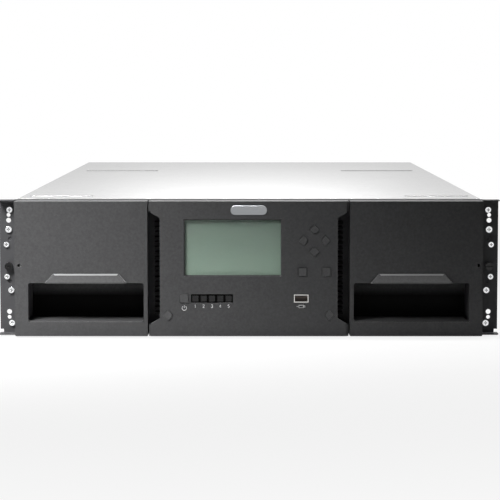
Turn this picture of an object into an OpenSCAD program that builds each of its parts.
// Rack tape library, three rack units high: two cartridge magazines that slide out of the front,
// a control panel between them, a robot that lifts, travels, turns and grips in the aisle behind it,
// and three drive sleds, two power supplies and a controller that plug in from the rear.
// Millimetres. +X is right, +Y is to the rear, +Z is up. The origin is the middle of the underside.

/* [Chassis] */
// Width over the cover's skirts
chassis_w = 447; // [440:1:560]
// Height from the underside to the flat of the cover
chassis_h = 132; // [110:1:180]
// Depth from the front edge of the sheet to the outside of the rear panel
chassis_d = 844; // [700:1:1050]
// Thickness of the chassis sheet
sheet_t = 1.2; // [0.8:0.1:1.6]
// Width of each rack ear beyond the chassis
ear_w = 17.8; // [14:0.1:24]
// Thickness of the rack ears
ear_t = 1.5; // [1:0.1:2.5]
// How far the ears' top and bottom lips reach forward
ear_lip_d = 12; // [6:0.5:18]
// Height of the pressed beads on the cover
bead_h = 0.6; // [0.4:0.1:1.2]
// How far the cover's skirts come down
skirt_h = 16; // [8:1:24]

/* [Front] */
// How far the bezels stand in front of the chassis sheet
bezel_d = 22; // [18:0.5:26]
// Wall thickness of the moulded bezels
bezel_t = 2.5; // [2:0.1:3.2]
// How far the brows over the pull pockets stand proud
brow_d = 4; // [2:0.5:6]
// Height of the pull pockets
pocket_h = 36.5; // [26:0.5:44]
// Depth of the pull pockets
pocket_d = 43; // [32:1:44]
// Width of the screen
screen_w = 92.2; // [70:0.1:96]
// Height of the screen
screen_h = 53.1; // [40:0.1:60]
// Half diagonal of the arrow keys
arrow_key_a = 4.9; // [4:0.1:5.6]
// Side of the square keys
square_key_w = 7.8; // [6:0.1:9.4]
// Pitch of the status lights
light_pitch = 8; // [7:0.1:10]

/* [Cartridges and magazines] */
// Width of a cartridge, which lies along the magazine
cart_w = 102; // [85:0.5:104]
// Length of a cartridge, from its grip end to its nose
cart_l = 105.4; // [85:0.1:106]
// Thickness of a cartridge
cart_h = 21.5; // [17:0.1:26]
// Thickness of the walls between columns of cells
divider_t = 3; // [2:0.1:4]
// Thickness of the ledges that cartridges lie on
ledge_t = 1.3; // [1:0.1:2]
// Width of the ledges
ledge_w = 8; // [5:0.5:12]
// Thickness of the magazine tray
tray_t = 1.5; // [1:0.1:2]

/* [Robot] */
// Module of the lift gears
gear_module = 1; // [0.8:0.1:1]
// Teeth on each lift pinion
pinion_teeth = 12; // [12:1:13]
// Radius of the lift shafts
shaft_r = 2; // [1.5:0.1:2.4]
// Radius of the travel belt's pulleys
pulley_r = 4; // [3:0.1:4.4]
// Radius of the turntable hub
hub_r = 8; // [6:0.5:12]

/* [Rear modules] */
// Depth of the drive sleds inside the rear panel
sled_d = 268; // [240:1:300]
// Width of a tape drive
drive_w = 146; // [120:1:148]
// Depth of the power supplies and the controller
module_d = 200; // [150:1:230]
// How far the pull handles stand behind the rear panel
handle_d = 22; // [16:0.5:30]
// Radius of the power supplies' fan openings
fan_r = 23; // [18:0.5:26]

/* [Clearances] */
// Gap between pieces that slide on one another
slide_gap = 0.3; // [0.2:0.05:0.5]
// Radial clearance of a shaft in its bearing
shaft_gap = 0.05; // [0.03:0.01:0.08]
// Gap round the keys
key_gap = 0.25; // [0.2:0.05:0.4]
// Gap between neighbouring bezels
seam_gap = 1.2; // [0.8:0.1:2]

/* [Hidden] */
$fn = 48;
eps = 1; // how far a cutting shape runs past the face it opens

// Depth stations, front to rear
total_d = brow_d + bezel_d + chassis_d + handle_d;
front_y = -total_d / 2;
face_y = front_y + brow_d;
sheet_y0 = face_y + bezel_d;
sheet_y1 = sheet_y0 + chassis_d;
frame_y1 = sheet_y0 + sheet_t;
panel_y0 = sheet_y1 - sheet_t;
plate_y1 = face_y + bezel_t;

// Width stations, centre to side
front_x = chassis_w / 2 + 1;
rack_x = chassis_w / 2 + ear_w;
cover_fit = 0.2;
wall_x1 = chassis_w / 2 - sheet_t - cover_fit;
wall_x0 = wall_x1 - sheet_t;
mag_side_gap = 3.4;
cell_back_gap = 2;
cell_nose = 7.1;
mag_x1 = wall_x0 - mag_side_gap;
mag_x0 = mag_x1 - tray_t - cell_back_gap - cart_l - cell_nose;
bezel_x0 = mag_x0 - 4.4;
panel_x1 = bezel_x0 - seam_gap;
step_w = 2;
aisle_plate_x = bezel_x0 + 0.5;

// Height stations
cover_z0 = chassis_h - sheet_t;
bezel_z0 = 1;
bezel_z1 = cover_z0;
runner_h = 3.5;
tray_z0 = sheet_t + runner_h + slide_gap;
floor_z = tray_z0 + tray_t;
row_pitch = cart_h + 0.2 + ledge_t;

// The robot, measured from the middle of the turntable at its lowest row
transport_t = 1.5;
transport_l = cart_l + 8.6;
transport_w = cart_w + 10;
transport_z0 = floor_z - 0.2 - transport_t;
roof_z0 = transport_z0 + transport_t + cart_h + 0.5;
transport_z1 = roof_z0 + transport_t;
turn_r = norm([transport_l / 2, transport_w / 2]);
tray_travel = mag_x0 - 2.5 - transport_l / 2;
pitch_r = gear_module * pinion_teeth / 2;
shaft_z = transport_z1 + 1;
rack_base_t = 5.5;
rack_addendum = 0.7 * gear_module;
dedendum = 1.25 * gear_module;
front_shaft_y = frame_y1 + rack_base_t + dedendum + pitch_r;
sled_y0 = sheet_y1 - sled_d;
drive_y0 = sled_y0 + 2;
rear_shaft_y = sled_y0 - 7.5;
rail_x0 = turn_r + 1.1;
rail_x1 = rail_x0 + 7;
plate_z = [transport_z1 + 1.2, transport_z1 + 4.2];
rail_z0 = plate_z[0] - 0.9;
rail_z1 = shaft_z + 4.2;
grip_margin = 1;
jaw_l = 28;
jaw_tip = tray_travel + transport_l / 2 - grip_margin + jaw_l;
jaw_entry = jaw_tip - mag_x0;
pinion_x0 = rail_x1 + 0.5;
pinion_w = 5;
lift_top = shaft_z + pitch_r + gear_module;
rows = 1 + floor((cover_z0 - 0.5 - lift_top) / row_pitch);
lift_travel = (rows - 1) * row_pitch;

// Columns of cells along the magazine
cell_w = cart_w + 2;
column_pitch = cell_w + divider_t;
first_column_y = front_shaft_y + shaft_r + 3 + turn_r;
cells_y0 = first_column_y - cell_w / 2 - divider_t;
last_stop_y = min(rear_shaft_y - shaft_r - 1.6 - turn_r, drive_y0 - mag_x0);
columns = 1 + floor((last_stop_y - first_column_y) / column_pitch);
cells_y1 = cells_y0 + columns * column_pitch + divider_t;
cells_z1 = floor_z + rows * row_pitch;
tub_y1 = face_y + pocket_d + 3;
rest_column = 2;
robot_y = first_column_y + rest_column * column_pitch;

// Drive bays and the bays of the other rear modules
drive_bays = 3;
drive_pitch = (cover_z0 - sheet_t - 2) / drive_bays;
shelf_t = 1;
sled_x = drive_w / 2 + 9;
cage_x0 = sled_x + 1.2;
cage_x1 = cage_x0 + sheet_t;
module_x0 = cage_x1 + 1;
module_x1 = wall_x0 - 1.4;
module_y0 = sheet_y1 - module_d;
module_mid_x = (module_x0 + module_x1) / 2;
mid_shelf_z = sheet_t + (cover_z0 - sheet_t) / 2 - 0.6;
strip_h = 1.5;
lower_module_z = [sheet_t + strip_h + slide_gap, mid_shelf_z - 1.4];
upper_module_z = [mid_shelf_z + sheet_t + slide_gap, cover_z0 - 2.9];
flange_t = 1.2;
flange_seam = 0.2;
sled_plate_x = cage_x0 + 0.8;
module_plate_x = [sled_plate_x + flange_seam, module_x1 + 0.9];

// ---------------------------------------------------------------- general shapes

// A box from its ranges along X, Y and Z
module span(x, y, z) {
    translate([x[0], y[0], z[0]])
        cube([x[1] - x[0], y[1] - y[0], z[1] - z[0]]);
}

// Profiles drawn in (y, z), (x, z) and (x, y), carried along the third axis
module along_x(x0, x1) {
    translate([x0, 0, 0])
        rotate([90, 0, 90])
            linear_extrude(x1 - x0) children();
}

module along_y(y0, y1) {
    translate([0, y1, 0])
        rotate([90, 0, 0])
            linear_extrude(y1 - y0) children();
}

module along_z(z0, z1) {
    translate([0, 0, z0])
        linear_extrude(z1 - z0) children();
}

// A flat rectangle from its ranges, plain or with round corners
module area(a, b) {
    translate([a[0], b[0]])
        square([a[1] - a[0], b[1] - b[0]]);
}

module round_area(a, b, r) {
    area([a[0] + r, a[1] - r], b);
    area(a, [b[0] + r, b[1] - r]);
    for (i = [a[0] + r, a[1] - r], j = [b[0] + r, b[1] - r])
        translate([i, j]) circle(r);
}

// A slot with round ends, along the longer of its two ranges
module slot_area(a, b) {
    r = min(a[1] - a[0], b[1] - b[0]) / 2;
    upright = b[1] - b[0] > a[1] - a[0];
    inner_a = upright ? a : [a[0] + r, a[1] - r];
    inner_b = upright ? [b[0] + r, b[1] - r] : b;
    ends = upright
        ? [[a[0] + r, inner_b[0]], [a[0] + r, inner_b[1]]]
        : [[inner_a[0], b[0] + r], [inner_a[1], b[0] + r]];
    area(inner_a, inner_b);
    for (p = ends) translate(p) circle(r);
}

// A rod along X or Y
module rod_x(x0, x1, y, z, r) {
    translate([x0, y, z])
        rotate([0, 90, 0])
            cylinder(h = x1 - x0, r = r);
}

module rod_y(y0, y1, x, z, r) {
    translate([x, y1, z])
        rotate([90, 0, 0])
            cylinder(h = y1 - y0, r = r);
}

module both_sides() {
    children();
    mirror([1, 0, 0]) children();
}

// ---------------------------------------------------------------- chassis sheet metal

wall_flange_w = 8;
side_vent_count = 14;
side_vent_h = 40;
cover_screw_y = [for (i = [0:4]) sheet_y0 + 60 + i * (chassis_d - 120) / 4];
cover_screw_z = cover_z0 - skirt_h / 2;
screw_r = 1.5;

module base_pan() {
    vent_z0 = sheet_t + 26;
    color("silver")
    difference() {
        union() {
            along_y(sheet_y0, sheet_y1) {
                area([-wall_x1, wall_x1], [0, sheet_t]);
                for (x = [-wall_x1, wall_x0]) area([x, x + sheet_t], [0, cover_z0]);
            }
            // Flanges under the cover, between the front frame and the rear panel
            for (x = [-wall_x1, wall_x1 - wall_flange_w])
                span([x, x + wall_flange_w], [frame_y1, panel_y0], [cover_z0 - sheet_t, cover_z0]);
        }
        // Vent slots beside the rear modules
        for (i = [0:side_vent_count - 1])
            along_x(-wall_x1 - eps, wall_x1 + eps)
                translate([sheet_y1 - 40 - i * 9, vent_z0])
                    slot_area([-1.6, 1.6], [0, side_vent_h]);
        for (y = cover_screw_y)
            rod_x(-wall_x1 - eps, wall_x1 + eps, y, cover_screw_z, screw_r + shaft_gap);
    }
}

// Each bead: its middle in y, then its range in x
bead_w = 6;
beads = [
    [sheet_y0 + 43, [chassis_w / 2 - 69.5, chassis_w / 2 - 7]],
    [sheet_y0 + 588 / 844 * chassis_d, [chassis_w / 2 - 108, chassis_w / 2 - 18]]
];

module top_cover() {
    color("gainsboro")
    difference() {
        union() {
            along_y(sheet_y0, sheet_y1)
                union() {
                    area([-chassis_w / 2, chassis_w / 2], [cover_z0, chassis_h]);
                    for (x = [-chassis_w / 2, chassis_w / 2 - sheet_t])
                        area([x, x + sheet_t], [cover_z0 - skirt_h, chassis_h]);
                }
            for (bead = beads, s = [0, 1])
                mirror([s, 0, 0])
                    along_z(chassis_h - sheet_t / 2, chassis_h + bead_h)
                        slot_area(bead[1], [bead[0] - bead_w / 2, bead[0] + bead_w / 2]);
        }
        for (y = cover_screw_y)
            rod_x(-chassis_w / 2 - eps, chassis_w / 2 + eps, y, cover_screw_z, screw_r + shaft_gap);
    }
}

// The front frame is one sheet with an opening for each magazine and a plate across the aisle
module front_frame() {
    opening_x = [aisle_plate_x, wall_x0 - 2.4];
    opening_z = [sheet_t + 2.8, cells_z1 + tray_t + 1.5];
    color("dimgray")
    along_y(sheet_y0, frame_y1)
        difference() {
            area([-wall_x0, wall_x0], [sheet_t, cover_z0]);
            for (s = [0, 1])
                mirror([s, 0]) {
                    area(opening_x, opening_z);
                    // Air slots behind the panel's side vents
                    for (z = [sheet_t + 16:9:cover_z0 - 20])
                        slot_area([panel_x1 - 34, panel_x1 - 16], [z, z + 4]);
                }
            translate([0, sheet_t + 10]) round_area([-20, 20], [0, 9], 3);
        }
}

// ---------------------------------------------------------------- rack ears and fasteners

rack_hole_x = rack_x - 8.75;
rack_hole_z = [22.25, 111.15];
rack_hole_r = 2.4;
spare_hole_z = [17, 116.3];
spare_hole_r = 1.9;
// Rows on the ears are laid out at this chassis height, and spread or close up with it
layout_h = 132;
function on_ear(z) = z * chassis_h / layout_h;
thumbscrew_z = on_ear(66.7);
thumbscrew_r = 2.5;
thumbscrew_neck_r = 1.9;
pilot_hole_z = [on_ear(51.5), on_ear(93.3)];
pilot_hole_r = 2;
pilot_hole_d = 1;
ear_leg_d = 70;
// Screws in the right ear: distance in from the ear's edge, height and head radius
ear_screws = [
    [11.4, on_ear(11.3), 2.9], [11, on_ear(43.3), 2.9], [7, on_ear(56.4), 2.6],
    [6.7, on_ear(87.6), 2.6], [8.9, on_ear(102.3), 3.1], [9.9, on_ear(121.3), 2.8]
];
ear_leg_screws = [[20, on_ear(30)], [20, on_ear(90)], [55, on_ear(60)]];

module ear() {
    top_z = cover_z0 + sheet_t / 2;
    lip_x0 = front_x + 1.2;
    leg_z = [6, cover_z0 - skirt_h - 1];
    ear_cut_y = [sheet_y0 - 0.2, sheet_y0 + ear_t + eps];
    difference() {
        union() {
            span([wall_x1, rack_x], [sheet_y0, sheet_y0 + ear_t], [bezel_z0, top_z]);
            for (z = [bezel_z0, top_z - sheet_t])
                span([lip_x0, rack_x], [sheet_y0 - ear_lip_d, sheet_y0 + ear_t], [z, z + sheet_t]);
            span([wall_x1, wall_x1 + ear_t], [sheet_y0, sheet_y0 + ear_leg_d], leg_z);
        }
        // Room for the cover's skirt
        span([wall_x1 - eps, chassis_w / 2], ear_cut_y, [cover_z0 - skirt_h - 0.5, chassis_h + eps]);
        // Relief at the bottom outer corner, and the lips' trimmed front corners
        span([rack_x - 3.2, rack_x + eps], ear_cut_y, [bezel_z0 + sheet_t, bezel_z0 + 4.4]);
        along_z(-eps, chassis_h + eps)
            polygon([
                [rack_x - 2.5, sheet_y0 - ear_lip_d - eps],
                [rack_x + eps, sheet_y0 - ear_lip_d - eps],
                [rack_x + eps, sheet_y0 - ear_lip_d + 2.5]
            ]);
        for (z = rack_hole_z) ear_hole(rack_hole_x, z, rack_hole_r);
        for (z = spare_hole_z) ear_hole(rack_hole_x, z, spare_hole_r);
        for (z = pilot_hole_z)
            rod_y(sheet_y0 - eps, sheet_y0 + pilot_hole_d, rack_hole_x - 1.4, z, pilot_hole_r);
        ear_hole(rack_hole_x, thumbscrew_z, thumbscrew_neck_r + shaft_gap);
        for (s = ear_screws) ear_hole(rack_x - s[0], s[1], screw_r + shaft_gap);
        for (s = ear_leg_screws)
            rod_x(wall_x1 - eps, wall_x1 + ear_t + eps, sheet_y0 + s[0], s[1], screw_r + shaft_gap);
    }
}

module ear_hole(x, z, r) {
    rod_y(sheet_y0 - eps, sheet_y0 + ear_t + eps, x, z, r);
}

module left_ear() {
    color("dimgray") mirror([1, 0, 0]) ear();
}

module right_ear() {
    color("dimgray") ear();
}

// Pan head screws: the ears', the cover's along both skirts, and those in the ears' legs
side_head_t = 1.2;

// Two crossed slots, for a screwdriver
module cross_recess(head_r) {
    arm = head_r * 1.1;
    slot = head_r * 0.28;
    square([arm, slot], center = true);
    square([slot, arm], center = true);
}

// A screw in the case's side, with its head on the sheet at x and its end at end_x
module side_screw(end_x, x, y, z) {
    head_r = 3;
    head_x = x + side_head_t;
    difference() {
        union() {
            rod_x(x, head_x, y, z, head_r);
            rod_x(end_x, head_x, y, z, screw_r);
        }
        translate([head_x - 0.8, y, z])
            rotate([0, 90, 0])
                linear_extrude(1)
                    cross_recess(head_r);
    }
}

module case_screws() {
    head_t = 1.6;
    head_y = sheet_y0 - head_t;
    color("lightsteelblue")
    both_sides() {
        for (s = ear_screws)
            difference() {
                union() {
                    rod_y(head_y, sheet_y0, rack_x - s[0], s[1], s[2]);
                    rod_y(head_y, sheet_y0 + ear_t + 3, rack_x - s[0], s[1], screw_r);
                }
                along_y(head_y - eps, head_y + 1.1)
                    translate([rack_x - s[0], s[1]]) cross_recess(s[2]);
            }
        for (y = cover_screw_y)
            side_screw(wall_x0, chassis_w / 2, y, cover_screw_z);
        for (s = ear_leg_screws)
            side_screw(wall_x1, wall_x1 + ear_t, sheet_y0 + s[0], s[1]);
    }
}

// Captive screws that hold the library in the rack: a slotted head, a neck through the ear
// and a threaded end that is wider than the neck
module rack_thumbscrews() {
    head_y = [sheet_y0 - 5, sheet_y0];
    thread_y0 = sheet_y0 + ear_t + slide_gap;
    slot_half = 0.5;
    color([0.12, 0.12, 0.13])
    both_sides() {
        difference() {
            rod_y(head_y[0], head_y[1], rack_hole_x, thumbscrew_z, 3.7);
            span(
                [rack_hole_x - 5, rack_hole_x + 5],
                [head_y[0] - eps, head_y[0] + 1],
                [thumbscrew_z - slot_half, thumbscrew_z + slot_half]
            );
        }
        rod_y(head_y[1] - 1, thread_y0 + 1, rack_hole_x, thumbscrew_z, thumbscrew_neck_r);
        rod_y(thread_y0, thread_y0 + 12, rack_hole_x, thumbscrew_z, thumbscrew_r);
    }
}

// ---------------------------------------------------------------- control panel

notch_d = 10.5;
notch_rise = 6.2;
notch_z = [12.2, bezel_z1 - 9.9];
fin_pitch = 4.83;
fin_t = 1.4;
fin_l = 5.1;
board_y = [face_y + 11, face_y + 12.6];
switch_d = 1.5;
switch_w = 5;
key_travel = 0.8;
key_proud = 1;

// Places on the panel, from its middle and its top edge. The lower row stands midway under the screen
screen_top_gap = 18;
screen_x = [-61.5, -61.5 + screen_w];
screen_z = [bezel_z1 - screen_top_gap - screen_h, bezel_z1 - screen_top_gap];
arrow_x = 63;
arrow_z = bezel_z1 - 37.6;
arrow_offset = 10.5;
square_key_z = bezel_z1 - 67.7;
square_key_offset = 11.4;
power_x = -61.9;
lower_row_z = screen_z[0] / 2 + 7.55;
light_count = 5;
light_w = 5.7;
light_bar_w = light_count * light_pitch;
light_bar_x0 = -55.4;
light_bar_h = 7.9;
usb_x = 50.3;
usb_w = 13.8;
usb_h = 7.4;
magazine_key_z = 21.3;
magazine_key_x = panel_x1 - 18.6;

// The panel's outline, x wide each way and inset by t, without its vent notches
notch_x = panel_x1 - notch_d;
notch_wall_t = 1.6;
module panel_outline(x, t, notch_grow) {
    difference() {
        area([t - x, x - t], [bezel_z0 + t, bezel_z1 - t]);
        for (s = [0, 1]) mirror([s, 0]) notch_area(notch_grow);
    }
}

// A vent notch in the panel's right side, with slanted ends, grown by t all round
module notch_area(t) {
    slope = notch_rise / notch_d;
    drop = t * norm([1, slope]);
    inner = notch_x - t;
    outer = panel_x1 + eps;
    rise_in = slope * (panel_x1 - inner) - drop;
    rise_out = slope * (panel_x1 - outer) - drop;
    polygon([
        [outer, notch_z[0] + rise_out],
        [inner, notch_z[0] + rise_in],
        [inner, notch_z[1] - rise_in],
        [outer, notch_z[1] - rise_out]
    ]);
}

// The comb of fins that stands in each notch
fins_z = [notch_z[0] + notch_rise + fin_pitch - fin_t, notch_z[1] - notch_rise - fin_t];
module vent_fins() {
    for (s = [0, 1], z = [fins_z[0]:fin_pitch:fins_z[1]])
        mirror([s, 0])
            area([notch_x - notch_wall_t, notch_x + fin_l], [z, z + fin_t]);
}

// Keys: each one's middle, its turn and the shape of its cap
corner_cut = 1.6;
magazine_key_a = 5;
keys = [
    [[power_x, lower_row_z], 0, "square"],
    [[arrow_x, arrow_z + arrow_offset], 0, "arrow"],
    [[arrow_x, arrow_z - arrow_offset], 180, "arrow"],
    [[arrow_x - arrow_offset, arrow_z], 90, "arrow"],
    [[arrow_x + arrow_offset, arrow_z], -90, "arrow"],
    [[arrow_x - square_key_offset, square_key_z], 0, "square"],
    [[arrow_x + square_key_offset, square_key_z], 0, "square"],
    [[-magazine_key_x, magazine_key_z], 90, "magazine"],
    [[magazine_key_x, magazine_key_z], -90, "magazine"]
];

// A diamond whose lower corner is cut off
function diamond(a) = [[0, a], [a, 0], [corner_cut, corner_cut - a], [-corner_cut, corner_cut - a], [-a, 0]];

module at_key(key) translate(key[0]) rotate(key[1]) children();

module key_outline(key, grow) {
    at_key(key)
        if (key[2] == "square") square(square_key_w + 2 * grow, center = true);
        else polygon(diamond((key[2] == "arrow" ? arrow_key_a : magazine_key_a) + grow));
}

module light_bar_area(grow) {
    area(
        [light_bar_x0 - grow, light_bar_x0 + light_bar_w + grow],
        [lower_row_z - light_bar_h / 2 - grow, lower_row_z + light_bar_h / 2 + grow]
    );
}

module usb_area(grow) {
    area(
        [usb_x - usb_w / 2 - grow, usb_x + usb_w / 2 + grow],
        [lower_row_z - usb_h / 2 - grow, lower_row_z + usb_h / 2 + grow]
    );
}

module control_panel_bezel() {
    main_x = panel_x1 - step_w;
    color([0.22, 0.22, 0.23])
    union() {
        // Face, with the openings for screen, lights, socket and keys
        difference() {
            along_y(face_y, plate_y1)
                difference() {
                    panel_outline(main_x, 0, 0);
                    area(screen_x, screen_z);
                    light_bar_area(key_gap);
                    usb_area(0.3);
                    for (key = keys) key_outline(key, key_gap);
                }
            screen_bevel();
        }
        // Side steps and walls
        along_y(face_y + bezel_t - 1, sheet_y0)
            difference() {
                panel_outline(panel_x1, 0, 0);
                panel_outline(main_x, bezel_t, notch_wall_t);
            }
        along_y(face_y + 5, sheet_y0) vent_fins();
    }
}

// A chamfer all round the screen's opening
module screen_bevel() {
    b = 0.8;
    in = 1;
    for (e = [[screen_x[0], 1], [screen_x[1], -1]])
        along_z(screen_z[0] - b, screen_z[1] + b)
            polygon([
                [e[0] - b * e[1], face_y],
                [e[0], face_y + b],
                [e[0] + in * e[1], face_y + b],
                [e[0] + in * e[1], face_y - eps],
                [e[0] - b * e[1], face_y - eps]
            ]);
    for (e = [[screen_z[0], 1], [screen_z[1], -1]])
        along_x(screen_x[0] - b, screen_x[1] + b)
            polygon([
                [face_y, e[0] - b * e[1]],
                [face_y + b, e[0]],
                [face_y + b, e[0] + in * e[1]],
                [face_y - eps, e[0] + in * e[1]],
                [face_y - eps, e[0] - b * e[1]]
            ]);
}

window_t = 1.6;

module lcd_window() {
    color([0.62, 0.68, 0.62, 0.5])
    along_y(plate_y1, plate_y1 + window_t)
        area([screen_x[0] - 3, screen_x[1] + 3], [screen_z[0] - 3, screen_z[1] + 3]);
}

module lcd_panel() {
    color([0.42, 0.47, 0.42])
    along_y(plate_y1 + window_t, board_y[0])
        area([screen_x[0] - 4, screen_x[1] + 4], [screen_z[0] - 5, screen_z[1] + 4]);
}

module led_bar() {
    color([0.03, 0.03, 0.03])
    along_y(face_y + 0.3, board_y[0])
        difference() {
            light_bar_area(0);
            for (i = [0:light_count - 1]) light_window(i, 0);
        }
}

module light_window(i, inset) {
    half = light_w / 2 - inset;
    translate([light_bar_x0 + (i + 0.5) * light_pitch, lower_row_z])
        square(2 * half, center = true);
}

module led_lenses() {
    color([0.25, 0.27, 0.26])
    along_y(face_y + 0.6, board_y[0])
        for (i = [0:light_count - 1]) light_window(i, 0.05);
}

module front_usb_port() {
    shell_t = 0.6;
    color("silver")
    union() {
        along_y(face_y - 0.3, board_y[0] - 1)
            difference() {
                usb_area(0);
                usb_area(-shell_t);
            }
        along_y(board_y[0] - 1, board_y[0]) usb_area(0);
        // Contact tongue
        span([usb_x - 5.4, usb_x + 5.4], [face_y + 1.5, board_y[0]], [lower_row_z + 0.2, lower_row_z + 1.9]);
    }
}

// Board behind the panel, with a switch for each key, a connector and four posts to the frame
module control_board() {
    half = panel_x1 - 16;
    color("darkgreen")
    union() {
        along_y(board_y[0], board_y[1])
            area([-half, half], [14, bezel_z1 - 12]);
        along_y(board_y[0] - switch_d, board_y[1])
            for (key = keys) at_key(key) square(switch_w, center = true);
        for (x = [6 - half, half - 6], z = [45, bezel_z1 - 18])
            rod_y(board_y[1], sheet_y0, x, z, 2.5);
        span([-18, 18], [board_y[1], board_y[1] + 5], [24, 34]);
        span([20, 48], [board_y[1], board_y[1] + 2], [66, 94]);
        span([-45, -31], [board_y[1], board_y[1] + 2.2], [72, 92]);
    }
}

// A key's cap, its retaining flange behind the face and the stem that meets the switch
module key_body(key) {
    stem_y1 = board_y[0] - switch_d - key_travel - 0.2;
    flange_y = [plate_y1 + 0.2, plate_y1 + 1.4];
    color([0.3, 0.3, 0.31])
    union() {
        along_y(face_y - key_proud, flange_y[1]) key_outline(key, 0);
        along_y(flange_y[0], flange_y[1]) key_outline(key, 0.9);
        along_y(flange_y[1] - 0.2, stem_y1) at_key(key) square(3, center = true);
    }
}

module power_key() key_body(keys[0]);
module up_key() key_body(keys[1]);
module down_key() key_body(keys[2]);
module left_key() key_body(keys[3]);
module right_key() key_body(keys[4]);
module back_key() key_body(keys[5]);
module enter_key() key_body(keys[6]);
module left_magazine_key() key_body(keys[7]);
module right_magazine_key() key_body(keys[8]);

// ---------------------------------------------------------------- magazines, drawn on the right

pocket_x = [bezel_x0 + 3.7, front_x - 12.7];
pocket_z = [15.7, 15.7 + pocket_h];
brow_w = 79.1;
brow_top_w = 62.6;
brow_h = 9.1;
release_hole_z = 69.2;
cells_x1 = mag_x1 - tray_t;

// Brow over the pocket: a sloping plate with slanted ends and a chamfer along its top and ends
module brow() {
    chamfer = 1.6;
    lip_h = 1.2;
    hull() {
        along_y(face_y, plate_y1)
            polygon([
                [-brow_w / 2, 0],
                [brow_w / 2, 0],
                [brow_top_w / 2, brow_h],
                [-brow_top_w / 2, brow_h]
            ]);
        along_y(front_y, face_y)
            area([chamfer - brow_w / 2, brow_w / 2 - chamfer], [0, lip_h]);
        along_y(face_y - chamfer, face_y)
            area([chamfer - brow_top_w / 2, brow_top_w / 2 - chamfer], [0, brow_h - chamfer]);
    }
}

module magazine_bezel() {
    tub_x = [pocket_x[0] - bezel_t, pocket_x[1] + bezel_t];
    tub_z = [pocket_z[0] - bezel_t, pocket_z[1] + bezel_t];
    scoop_r = 26;
    scoop_y = tub_y1 - 3 - scoop_r;
    pocket_mid_x = (pocket_x[0] + pocket_x[1]) / 2;
    pocket_mid_z = (pocket_z[0] + pocket_z[1]) / 2;
    color([0.25, 0.25, 0.26])
    difference() {
        union() {
            along_y(face_y, plate_y1)
                round_area([bezel_x0, front_x], [bezel_z0, bezel_z1], 1);
            along_y(plate_y1 - 0.5, sheet_y0 - slide_gap)
                difference() {
                    area([bezel_x0, front_x], [bezel_z0, bezel_z1]);
                    area(
                        [bezel_x0 + bezel_t, front_x - bezel_t],
                        [bezel_z0 + bezel_t, bezel_z1 - bezel_t]
                    );
                }
            // Tub behind the pull pocket, and the webs that carry the tray
            span(tub_x, [plate_y1 - 0.5, tub_y1], tub_z);
            for (x = [mag_x0 + 6, mag_x1 - 14])
                span([x, x + 3], [plate_y1 - 0.5, tub_y1], [tub_z[1] - 0.5, cells_z1 - 6]);
            translate([pocket_mid_x, 0, pocket_z[1]]) brow();
        }
        // Pull pocket, with a back scooped about a level axis
        intersection() {
            along_y(front_y - eps, tub_y1 - 3)
                round_area(pocket_x, pocket_z, 2);
            union() {
                span(
                    [pocket_x[0] - eps, pocket_x[1] + eps],
                    [front_y - 2 * eps, scoop_y],
                    [pocket_z[0] - eps, pocket_z[1] + eps]
                );
                rod_x(pocket_x[0] - eps, pocket_x[1] + eps, scoop_y, pocket_mid_z, scoop_r);
            }
        }
        // Bevel along the pocket's bottom edge
        along_x(pocket_x[0], pocket_x[1])
            polygon([
                [face_y - eps, pocket_z[0] - 1],
                [face_y, pocket_z[0] - 1],
                [face_y + 1.5, pocket_z[0] + 0.1],
                [face_y - eps, pocket_z[0] + 0.1]
            ]);
        // Emergency release hole
        rod_y(face_y - eps, plate_y1 + eps, wall_x0 - 0.7, release_hole_z, 1.5);
    }
}

// Tray: floor, outer wall and top in one channel, closed by a bulkhead at each end
module magazine_tray() {
    tray_z1 = cells_z1 + tray_t;
    color("slategray")
    union() {
        along_y(tub_y1, cells_y1 + tray_t)
            difference() {
                area([mag_x0, mag_x1], [tray_z0, tray_z1]);
                area([mag_x0 - eps, cells_x1], [floor_z, cells_z1]);
            }
        for (y = [tub_y1, cells_y1])
            span([mag_x0, mag_x1], [y, y + tray_t], [tray_z0, tray_z1]);
    }
}

// Walls between the columns, set back so that the gripper's jaws can pass beside a cartridge
module slot_dividers() {
    divider_x0 = mag_x0 + jaw_entry + 1.5;
    color("darkslategray")
    for (i = [0:columns]) {
        y = cells_y0 + i * column_pitch;
        span([divider_x0, cells_x1], [y, y + divider_t], [floor_z, cells_z1]);
    }
}

// Ledges on both sides of each column, under every cartridge but the lowest
module slot_ledges() {
    color("gray")
    for (i = [0:columns - 1], k = [1:rows - 1]) {
        y0 = cells_y0 + i * column_pitch + divider_t;
        z = floor_z + k * row_pitch;
        for (y = [y0, y0 + cell_w - ledge_w])
            span([mag_x0, cells_x1], [y, y + ledge_w], [z - ledge_t, z]);
    }
}

module right_magazine_bezel() magazine_bezel();
module right_magazine_tray() magazine_tray();
module right_slot_dividers() slot_dividers();
module right_slot_ledges() slot_ledges();
module left_magazine_bezel() mirror([1, 0, 0]) magazine_bezel();
module left_magazine_tray() mirror([1, 0, 0]) magazine_tray();
module left_slot_dividers() mirror([1, 0, 0]) slot_dividers();
module left_slot_ledges() mirror([1, 0, 0]) slot_ledges();

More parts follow.
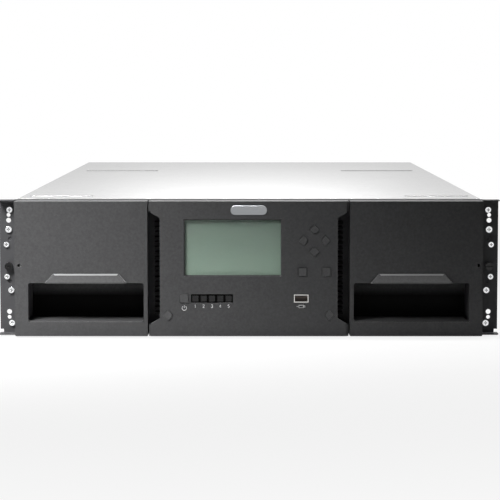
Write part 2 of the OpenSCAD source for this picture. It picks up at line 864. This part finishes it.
// Runners under each magazine, a guide strip on either side and a keeper over its top
module magazine_runners() {
    runner_y = [frame_y1, cells_y1 + tray_t];
    guide_z1 = tray_z0 + tray_t;
    keeper_z = cells_z1 + tray_t + slide_gap;
    color("lightgray")
    both_sides() {
        for (x = [mag_x0 + 10, mag_x1 - 22])
            span([x, x + 12], runner_y, [sheet_t, sheet_t + runner_h]);
        span([mag_x0 - slide_gap - 1.5, mag_x0 - slide_gap], runner_y, [sheet_t, guide_z1]);
        span([mag_x1 + slide_gap, wall_x0], runner_y, [sheet_t, guide_z1]);
        span([wall_x0 - 11, wall_x0], runner_y, [keeper_z, keeper_z + sheet_t]);
    }
}

// ---------------------------------------------------------------- lift

backlash = 0.06 * gear_module;
pressure_angle = 20;
tooth_pitch = PI * gear_module;

// Racks: a tooth space faces the pinion's middle at the lowest row
rack_z = [
    shaft_z - 3.5 * tooth_pitch,
    min(shaft_z + lift_travel + 2.5 * tooth_pitch, cover_z0 - tooth_pitch / 2)
];
function rack_tooth(z) =
    let (
        half = tooth_pitch / 4 - backlash,
        tip = half - rack_addendum * tan(pressure_angle),
        root = half + dedendum * tan(pressure_angle)
    )
    [[-dedendum, z - root], [rack_addendum, z - tip], [rack_addendum, z + tip], [-dedendum, z + root]];
function rack_outline() = concat(
    [[-dedendum - rack_base_t, sheet_t], [-dedendum, sheet_t]],
    [for (z = rack_z[0]; z < rack_z[1]; z = z + tooth_pitch) each rack_tooth(z)],
    [[-dedendum, cover_z0], [-dedendum - rack_base_t, cover_z0]]
);

module lift_racks() {
    color("goldenrod")
    both_sides() {
        translate([0, front_shaft_y - pitch_r, 0])
            along_x(pinion_x0, pinion_x0 + pinion_w) polygon(rack_outline());
        translate([0, rear_shaft_y + pitch_r, 0])
            mirror([0, 1, 0])
                along_x(pinion_x0, pinion_x0 + pinion_w) polygon(rack_outline());
    }
}

// Involute pinion drawn in (y, z), with a tooth pointing along -Y and one along +Y
function involute(a) = tan(a) * 180 / PI - a;
function tooth_half_angle(r, base_r) =
    90 / pinion_teeth - backlash / pitch_r * 180 / PI
    + involute(pressure_angle) - involute(acos(min(1, base_r / r)));
function pinion_outline() =
    let (
        base_r = pitch_r * cos(pressure_angle),
        tip_r = pitch_r + gear_module,
        flank = [base_r, (base_r + pitch_r) / 2, pitch_r, (pitch_r + tip_r) / 2, tip_r],
        root_r = pitch_r - 1.1 * gear_module,
        root_half = tooth_half_angle(base_r, base_r)
    )
    [for (i = [0:pinion_teeth - 1])
        let (
            middle = 360 / pinion_teeth * i,
            side = [for (r = flank) [r, -tooth_half_angle(r, base_r)]],
            rising = concat([[root_r, -root_half]], side),
            falling = [for (j = [len(rising) - 1:-1:0]) [rising[j][0], -rising[j][1]]]
        )
        each [for (p = concat(rising, falling)) p[0] * [cos(middle + p[1]), sin(middle + p[1])]]];

module lift_shaft(y) {
    color("gold")
    union() {
        rod_x(-pinion_x0 - pinion_w - 0.5, pinion_x0 + pinion_w + 0.5, y, shaft_z, shaft_r);
        for (x = [-pinion_x0 - pinion_w, pinion_x0])
            translate([0, y, shaft_z])
                along_x(x, x + pinion_w) polygon(pinion_outline());
    }
}

module front_lift_shaft() lift_shaft(front_shaft_y);
module rear_lift_shaft() lift_shaft(rear_shaft_y);

// Rails: a bearing block for each shaft, and a bar between them, grooved along its inside for the
// shuttle and high enough for the transport tray to slide out under it
tongue_z = [plate_z[0] + 0.6, plate_z[1] - 0.6];
groove_d = 2.5;

bearing_z0 = shaft_z - shaft_r - 1.3;
bearing_half = 5;
bearing_seam = 0.1;
bridge_half = 12;

module lift_rails() {
    color("silver")
    both_sides() {
        along_y(front_shaft_y + bearing_half + bearing_seam, rear_shaft_y - bearing_half - bearing_seam)
            difference() {
                area([rail_x0, rail_x1], [rail_z0, rail_z1]);
                area([rail_x0 - eps, rail_x0 + groove_d], tongue_z + [-slide_gap, slide_gap]);
            }
        for (y = [front_shaft_y, rear_shaft_y])
            difference() {
                span([rail_x0, rail_x1], [y - bearing_half, y + bearing_half], [bearing_z0, rail_z1]);
                rod_x(rail_x0 - eps, rail_x1 + eps, y, shaft_z, shaft_r + shaft_gap);
            }
    }
}

belt_x = -(rail_x1 + 6);
belt_y = [front_shaft_y + 18, rear_shaft_y - 15.5];
belt_gap = 0.3;
belt_t = 0.8;
bridge_z = [rail_z1, rail_z1 + 2.4];
pulley_z = [rail_z1 - 4.6, rail_z1 - 0.4];
pin_r = 1.5;

// Plates across the rails, with a wing that carries each belt pulley's pin
module lift_bridges() {
    wing_half = 6;
    color("silver")
    for (end = [0, 1]) {
        y = end == 0 ? front_shaft_y : rear_shaft_y;
        out = end == 0 ? [y - bearing_half, y + bridge_half] : [y - bridge_half, y + bearing_half];
        wing = end == 0
            ? [y + 8, belt_y[0] + wing_half]
            : [belt_y[1] - wing_half, y - 8];
        union() {
            span([-rail_x1, rail_x1], out, bridge_z);
            span([belt_x - 4, 8 - rail_x1], wing, bridge_z);
            translate([belt_x, belt_y[end], pulley_z[0] - 1])
                cylinder(h = bridge_z[0] - pulley_z[0] + 2, r = pin_r);
            translate([belt_x, belt_y[end], pulley_z[0] - 1])
                cylinder(h = 0.7, r = 2.6);
        }
    }
}

// Motor beside the turntable's sweep, with a gearbox round the front shaft
module lift_motor() {
    box_x = [40, 62];
    motor_r = 7;
    box_y = [front_shaft_y - 7.4, front_shaft_y + 6.6];
    color([0.2, 0.2, 0.22])
    difference() {
        union() {
            span(box_x, box_y, [transport_z0 + 3, rail_z1]);
            rod_x(box_x[1] - eps, 78, front_shaft_y - 0.4, transport_z0 + 3 + motor_r, motor_r);
        }
        rod_x(box_x[0] - eps, box_x[1] + eps, front_shaft_y, shaft_z, shaft_r + 2 * shaft_gap);
    }
}

module belt_loop(r) {
    for (y = belt_y) translate([belt_x, y]) circle(r);
    area([belt_x - r, belt_x + r], belt_y);
}

module travel_belt() {
    color([0.1, 0.1, 0.1])
    along_z(pulley_z[0] + 0.8, pulley_z[1] - 0.8)
        difference() {
            belt_loop(pulley_r + belt_gap + belt_t);
            belt_loop(pulley_r + belt_gap);
        }
}

module belt_pulley(y) {
    color("lightgray")
    translate([belt_x, y, 0])
        difference() {
            union() {
                along_z(pulley_z[0], pulley_z[1]) circle(pulley_r);
                for (z = [pulley_z[0], pulley_z[1] - 0.5])
                    along_z(z, z + 0.5) circle(pulley_r + 1.3);
            }
            along_z(pulley_z[0] - eps, pulley_z[1] + eps) circle(pin_r + shaft_gap);
        }
}

module front_belt_pulley() belt_pulley(belt_y[0]);
module rear_belt_pulley() belt_pulley(belt_y[1]);

// ---------------------------------------------------------------- shuttle, turntable and gripper

module shuttle_plate() {
    half = 45;
    arm_half = 8;
    arm_z = [rail_z1 + slide_gap, rail_z1 + slide_gap + 1.5];
    inside = pulley_r + belt_gap - 0.4;
    tongue_x = rail_x0 + groove_d - slide_gap;
    color("lightsteelblue")
    translate([0, robot_y, 0])
        difference() {
            union() {
                span([0.6 - rail_x0, rail_x0 - 0.6], [-half, half], plate_z);
                span([-tongue_x, tongue_x], [-half, half], tongue_z);
                // Arm over the left rail to the belt, with a clamp between the belt's runs
                span([0.6 - rail_x0, 8 - rail_x0], [-arm_half, arm_half], [plate_z[1] - 0.1, arm_z[1]]);
                span([belt_x - inside, 8 - rail_x0], [-arm_half, arm_half], arm_z);
                span(
                    [belt_x - inside, belt_x + inside],
                    [-arm_half, arm_half],
                    [pulley_z[0] + 0.8, arm_z[1]]
                );
            }
            translate([0, 0, plate_z[0] - eps])
                cylinder(h = plate_z[1] - plate_z[0] + 2 * eps, r = hub_r + shaft_gap);
            // Lightening windows
            for (x = [-1, 1], y = [-1, 1])
                translate([x * 42, y * 26, 0])
                    along_z(plate_z[0] - eps, plate_z[1] + eps) round_area([-16, 16], [-9, 9], 4);
        }
}

// Turntable: a hub that turns in the shuttle, over a plate with a slot on either side
// in which the transport tray hangs and slides
lug_x = transport_w / 2 + 2.2;
lug_pitch = 30;
lug_pin_r = 1.2;
lug_pin_head = 1.2;
slot_half_l = (tray_travel + lug_pitch) / 2;

module turntable() {
    half = [lug_x + 3.5, slot_half_l + 5];
    slot_half_w = lug_pin_r + slide_gap;
    color("lightsteelblue")
    translate([0, robot_y, 0])
        union() {
            along_z(roof_z0, transport_z1)
                difference() {
                    round_area([-half[0], half[0]], [-half[1], half[1]], 4);
                    for (x = [-lug_x, lug_x])
                        slot_area(
                            [x - slot_half_w, x + slot_half_w],
                            [-slot_half_l - slot_half_w, slot_half_l + slot_half_w]
                        );
                    for (x = [-1, 1], y = [-1, 1])
                        translate([x * 34, y * 24]) round_area([-15, 15], [-11, 11], 4);
                }
            along_z(transport_z1 - 0.5, plate_z[0] - slide_gap) circle(hub_r + 4);
            along_z(transport_z1, plate_z[1] + slide_gap + 0.2) circle(hub_r);
            along_z(plate_z[1] + slide_gap, plate_z[1] + slide_gap + 2) circle(hub_r + 5);
        }
}

// Transport tray: a channel open at both ends, with two slots along its floor for the gripper
// and two headed pins on either side that hang it in the turntable's slots
guide_slot_x = 40;
guide_slot_w = 3.4;
grip_wall_gap = 1.1;

module transport_tray() {
    half_l = transport_l / 2;
    half_w = transport_w / 2;
    z0 = transport_z0 + transport_t;
    z1 = roof_z0 - slide_gap;
    head_z0 = transport_z1 + slide_gap;
    color("slategray")
    translate([0, robot_y, 0])
        union() {
            difference() {
                along_y(-half_l, half_l)
                    difference() {
                        area([-half_w, half_w], [transport_z0, z1]);
                        area([transport_t - half_w, half_w - transport_t], [z0, z1 + eps]);
                    }
                along_z(transport_z0 - eps, z0 + eps)
                    for (x = [-guide_slot_x, guide_slot_x])
                        area([x - guide_slot_w / 2, x + guide_slot_w / 2], [2 - half_l, half_l - 2]);
            }
            for (x = [-1, 1], y = [-1, 1])
                translate([x * lug_x, (y * lug_pitch - tray_travel) / 2, 0]) {
                    along_z(z1 - 2.5, z1)
                        area(x < 0 ? [-3, lug_x - half_w + 0.5] : [half_w - lug_x - 0.5, 3], [-4, 4]);
                    along_z(z1 - 1, head_z0 + 0.6) circle(lug_pin_r);
                    along_z(head_z0, head_z0 + 0.6) circle(lug_pin_r + lug_pin_head);
                }
        }
}

// Gripper: a bar with two jaws, guided by a headed pin in each of the tray's slots
module gripper() {
    half = transport_w / 2 - transport_t - grip_wall_gap;
    back_y = robot_y - transport_l / 2 + grip_margin;
    bar_t = 6;
    jaw_t = 2;
    z = [transport_z0 + 3.2, roof_z0 - 2.3];
    pin_z0 = transport_z0 - slide_gap - 0.8;
    color([0.85, 0.45, 0.12])
    union() {
        span([-half, half], [back_y, back_y + bar_t], z);
        for (s = [0, 1])
            mirror([s, 0, 0]) {
                span([half - jaw_t, half], [back_y + bar_t - eps, back_y + bar_t + jaw_l], z + [2, -2]);
                // Nib that drops into the cartridge's side notch
                along_z(z[0] + 4, z[1] - 4)
                    polygon([
                        [half - jaw_t + 0.1, back_y + bar_t + jaw_l - 4],
                        [half - jaw_t - 1, back_y + bar_t + jaw_l - 2.5],
                        [half - jaw_t + 0.1, back_y + bar_t + jaw_l]
                    ]);
                translate([guide_slot_x, back_y + bar_t / 2, 0]) {
                    along_z(pin_z0, z[0] + 1) circle(pin_r);
                    along_z(pin_z0, pin_z0 + 0.8) circle(pin_r + 1.1);
                }
            }
    }
}

// ---------------------------------------------------------------- rear cage, panel and modules

function bay_z(k) = sheet_t + k * drive_pitch;

// Cage: two side sheets with a ledge for each sled, flanges that hold the rear lift racks,
// and a shelf on either side that carries the upper module
// Between sheets that are spot-welded on
sheet_seam = 0.1;

module rear_cage() {
    flange_y = rear_shaft_y + pitch_r + dedendum + rack_base_t;
    color("silver")
    both_sides() {
        span([cage_x0, cage_x1], [flange_y, panel_y0], [sheet_t, cover_z0]);
        span(
            [cage_x1 + sheet_seam, pinion_x0 + pinion_w + 2],
            [flange_y, flange_y + sheet_t],
            [sheet_t, cover_z0]
        );
        for (k = [0:drive_bays - 1])
            span(
                [cage_x0 - 9, cage_x0 - sheet_seam],
                [flange_y, panel_y0],
                [bay_z(k), bay_z(k) + shelf_t]
            );
        span(
            [cage_x1 + sheet_seam, wall_x0],
            [module_y0 - 1.4, panel_y0],
            [mid_shelf_z, mid_shelf_z + sheet_t]
        );
        for (x = [module_x0 + 8, module_x1 - 20])
            span([x, x + 12], [module_y0 - 1.4, panel_y0], [sheet_t, sheet_t + strip_h]);
    }
}

module rear_panel() {
    lip = 0.3;
    color("silver")
    along_y(panel_y0, sheet_y1)
        difference() {
            area([-wall_x0, wall_x0], [sheet_t, cover_z0]);
            area([-cage_x0 + lip, cage_x0 - lip], [bay_z(0) + shelf_t, bay_z(drive_bays - 1) + drive_pitch]);
            for (s = [0, 1])
                mirror([s, 0])
                    area([module_x0 - lip, module_x1 + lip], lower_module_z + [-0.2, 0.2]);
            mirror([1, 0])
                area([module_x0 - lip, module_x1 + lip], upper_module_z + [-0.2, 0.2]);
            // Vents over the controller
            for (x = [module_x0 + 14:7:module_x1 - 12])
                slot_area([x - 1.7, x + 1.7], upper_module_z + [14, -14]);
        }
}

// Boards that the modules dock on, with a connector for each module
module docking_boards() {
    y = module_y0 - 1.4;
    color("darkgreen")
    both_sides() {
        span([module_x0 + 4, module_x1 - 4], [y - 1.6, y], [sheet_t + strip_h, cover_z0 - 6]);
        for (z = [lower_module_z, upper_module_z])
            span([module_mid_x - 22, module_mid_x + 22], [y - 0.5, y + 1.1], [z[0] + 8, z[0] + 18]);
    }
}

// A pull handle: a flat loop, w wide, that stands behind the rear plates
module handle(x, z, w) {
    half = w / 2;
    out_y = sheet_y1 + handle_d;
    along_z(z - handle_t / 2, z + handle_t / 2)
        difference() {
            round_area([x - half, x + half], [sheet_y1 - 4, out_y], 3);
            round_area([x - half + handle_t, x + half - handle_t], [sheet_y1, out_y - handle_t], 1.5);
            area([x - half - eps, x + half + eps], [sheet_y1 - 4 - eps, sheet_y1 + flange_t - 0.5]);
        }
}

handle_w = 64;
handle_t = 5;
port_w = 24;
port_h = 8;
port_wall = 1.5;

module port_area(x, z, grow) {
    area(
        [x - port_w / 2 - grow, x + port_w / 2 + grow],
        [z - port_h / 2 - grow, z + port_h / 2 + grow]
    );
}

module drive_sled(k) {
    z = bay_z(k) + shelf_t + slide_gap;
    mid_z = z + drive_pitch / 2 - 2;
    port_z = mid_z + 6;
    port_x = -52;
    color("lightgray")
    difference() {
        union() {
            along_y(sled_y0, sheet_y1)
                difference() {
                    area([-sled_x, sled_x], [z, z + drive_pitch - 4]);
                    area([sheet_t - sled_x, sled_x - sheet_t], [z + sheet_t, z + drive_pitch]);
                }
            along_y(sheet_y1, sheet_y1 + flange_t)
                area([-sled_plate_x, sled_plate_x], [z - 0.9, z + drive_pitch - 1.9]);
            handle(0, mid_z, handle_w);
            for (x = [-sled_x + 5, sled_x - 5])
                rod_y(sheet_y1, sheet_y1 + 8, x, mid_z, 4);
            along_y(sheet_y1 - 12, sheet_y1 + 2.2) port_area(port_x, port_z, port_wall);
            // Adapter board behind the drive
            span([-60, 60], [sheet_y1 - 22, sheet_y1 - 20.4], [z + 1, z + 30]);
        }
        along_y(sheet_y1 - 10, sheet_y1 + 3) port_area(port_x, port_z, 0);
        // Vent slots in the rear plate
        for (x = [30:5:62])
            along_y(sheet_y1 - eps, sheet_y1 + flange_t + eps)
                slot_area([x - 1, x + 1], [mid_z - 11, mid_z + 11]);
    }
}

module drive_sled_1() drive_sled(0);
module drive_sled_2() drive_sled(1);
module drive_sled_3() drive_sled(2);

// A half-height tape drive with its cartridge mouth facing the aisle
drive_l = 205;
mouth_gap = 0.9;
mouth_z0 = 8;

module drive_unit(k) {
    z = bay_z(k) + shelf_t + slide_gap + sheet_t;
    y = drive_y0;
    top = bay_z(k + 1) - 0.8;
    mouth_w = cart_w + 2 * mouth_gap;
    mouth_z = [z + mouth_z0, z + mouth_z0 + cart_h + mouth_gap];
    jaw_room_x = transport_w / 2 - transport_t - slide_gap;
    color("darkgray")
    difference() {
        union() {
            span([-drive_w / 2, drive_w / 2], [y + 4, y + drive_l], [z, top]);
            span([-drive_w / 2 + 1, drive_w / 2 - 1], [y, y + 5], [z + 1, top - 1]);
        }
        span([-mouth_w / 2, mouth_w / 2], [y - eps, y + cart_l + 4], mouth_z);
        // Lead-in round the mouth
        along_x(-mouth_w / 2 - 2, mouth_w / 2 + 2)
            polygon([
                [y - eps, mouth_z[0] - 2],
                [y, mouth_z[0] - 1.5],
                [y + 3, mouth_z[0] + 0.1],
                [y + 3, mouth_z[1] - 0.1],
                [y, mouth_z[1] + 1.5],
                [y - eps, mouth_z[1] + 2]
            ]);
        // Room for the gripper's jaws on both sides of the mouth
        span([-jaw_room_x, jaw_room_x], [y - eps, y + jaw_entry + 2], mouth_z + [2.5, -3]);
    }
}

module drive_unit_1() drive_unit(0);
module drive_unit_2() drive_unit(1);
module drive_unit_3() drive_unit(2);

// A power supply, drawn on the right: a sheet case, a fan opening with its guard, a mains inlet
// and a handle. The guard's middle carries the fan's pin.
case_t = 1;
fan_x = module_mid_x + 32;
inlet_x = module_mid_x - 44;
inlet_w = 24;
inlet_h = 17;
inlet_d = 15;

module fan_guard_openings() {
    difference() {
        circle(fan_r);
        circle(8);
        for (r = [fan_r - 5, fan_r - 10])
            difference() {
                circle(r);
                circle(r - 1.2);
            }
        for (a = [0, 90])
            rotate(a + 45) square([2 * fan_r + eps, 1.4], center = true);
    }
}

module inlet_area(mid_z, grow, corner_r) {
    round_area(
        [inlet_x - inlet_w / 2 - grow, inlet_x + inlet_w / 2 + grow],
        [mid_z - inlet_h / 2 - grow, mid_z + inlet_h / 2 + grow],
        corner_r
    );
}

module power_supply(z) {
    mid_z = (z[0] + z[1]) / 2;
    y = [module_y0, sheet_y1];
    color("silver")
    difference() {
        union() {
            difference() {
                span([module_x0, module_x1], y, z);
                span(
                    [module_x0 + case_t, module_x1 - case_t],
                    [y[0] + case_t, y[1] - case_t],
                    [z[0] + case_t, z[1] - case_t]
                );
            }
            along_y(y[1], y[1] + flange_t)
                area(module_plate_x, [z[0] - 0.9, z[1] + 0.9]);
            handle(module_mid_x - 10, mid_z, 34);
            rod_y(y[1] - 14, y[1], fan_x, mid_z, pin_r);
            along_y(y[1] - inlet_d - 2, y[1] + 2)
                inlet_area(mid_z, 1.5, 0.5);
        }
        along_y(y[1] - case_t - 0.5, y[1] + flange_t + eps)
            translate([fan_x, mid_z]) fan_guard_openings();
        difference() {
            along_y(y[1] - inlet_d, y[1] + 2 + eps)
                inlet_area(mid_z, 0, 2);
            // The three pins
            along_y(y[1] - inlet_d - eps, y[1] - 3)
                for (p = [[-7, -2.5], [0, 2.5], [7, -2.5]])
                    translate([inlet_x, mid_z] + p) square([2, 4], center = true);
        }
    }
}

module power_supply_1() mirror([1, 0, 0]) power_supply(lower_module_z);
module power_supply_2() mirror([1, 0, 0]) power_supply(upper_module_z);

module power_fan(z) {
    mid_z = (z[0] + z[1]) / 2;
    hub_y = [sheet_y1 - 13.5, sheet_y1 - case_t - 1];
    blades = 7;
    color([0.08, 0.08, 0.09])
    translate([-fan_x, 0, mid_z])
        difference() {
            union() {
                rod_y(hub_y[0], hub_y[1], 0, 0, 9);
                for (i = [0:blades - 1])
                    rotate([0, i * 360 / blades, 0])
                        translate([8, (hub_y[0] + hub_y[1]) / 2, 0])
                            rotate([35, 0, 0])
                                translate([0, -0.6, -5]) cube([fan_r - 9.5, 1.2, 10]);
            }
            rod_y(hub_y[0] - eps, hub_y[1] + eps, 0, 0, pin_r + shaft_gap);
        }
}

module power_fan_1() power_fan(lower_module_z);
module power_fan_2() power_fan(upper_module_z);

// Controller: an open tray with a rear plate, a board, network and service sockets and a handle
network_ports = 2;
port_pitch = 20;

module controller_module() {
    z = lower_module_z;
    y = [module_y0, sheet_y1];
    socket_w = 12;
    socket_h = 9;
    socket_z = z[0] + 20;
    socket_x = [for (i = [0:network_ports - 1]) module_x0 + 20 + i * port_pitch];
    socket_y = [y[1] - 14, y[1] + flange_t];
    socket_half = socket_w / 2 + 2;
    service_x = [module_mid_x + 8, module_mid_x + 20];
    color("lightgray")
    difference() {
        union() {
            along_y(y[0], y[1])
                difference() {
                    area([module_x0, module_x1], z);
                    area([module_x0 + case_t, module_x1 - case_t], [z[0] + case_t, z[1] + eps]);
                }
            along_y(y[1], y[1] + flange_t)
                area(module_plate_x, [z[0] - 0.9, z[1] + 0.9]);
            // Board on four posts
            span([module_x0 + 8, module_x1 - 8], [y[0] + 4, y[1] - 6], [z[0] + 8, z[0] + 9.6]);
            for (i = [module_x0 + 14, module_x1 - 14], j = [y[0] + 12, y[1] - 24])
                translate([i, j, z[0] + case_t / 2]) cylinder(h = 8, r = 3);
            for (x = socket_x)
                along_y(socket_y[0] - 2, socket_y[1])
                    area([x - socket_half, x + socket_half], [z[0] + 9, socket_z + socket_h / 2 + 2]);
            along_y(socket_y[0] - 2, socket_y[1])
                area(service_x + [-2, 2], [z[0] + 9, socket_z + 4]);
            handle(module_mid_x + 30, z[1] - 14, 50);
        }
        along_y(socket_y[0], socket_y[1] + eps) {
            for (x = socket_x)
                translate([x, socket_z]) square([socket_w, socket_h], center = true);
            area(service_x, [socket_z - 3, socket_z + 2]);
        }
    }
}

// ---------------------------------------------------------------- nodes

base_pan();
top_cover();
front_frame();
left_ear();
right_ear();
case_screws();
rack_thumbscrews();
control_panel_bezel();
lcd_panel();
lcd_window();
led_bar();
led_lenses();
front_usb_port();
control_board();
magazine_runners();
lift_racks();
rear_cage();
rear_panel();
docking_boards();
left_magazine_bezel();
left_magazine_tray();
left_slot_dividers();
left_slot_ledges();
right_magazine_bezel();
right_magazine_tray();
right_slot_dividers();
right_slot_ledges();
power_key();
up_key();
down_key();
left_key();
right_key();
back_key();
enter_key();
left_magazine_key();
right_magazine_key();
lift_rails();
lift_bridges();
lift_motor();
travel_belt();
front_lift_shaft();
rear_lift_shaft();
front_belt_pulley();
rear_belt_pulley();
shuttle_plate();
turntable();
transport_tray();
gripper();
drive_sled_1();
drive_sled_2();
drive_sled_3();
drive_unit_1();
drive_unit_2();
drive_unit_3();
power_supply_1();
power_supply_2();
power_fan_1();
power_fan_2();
controller_module();
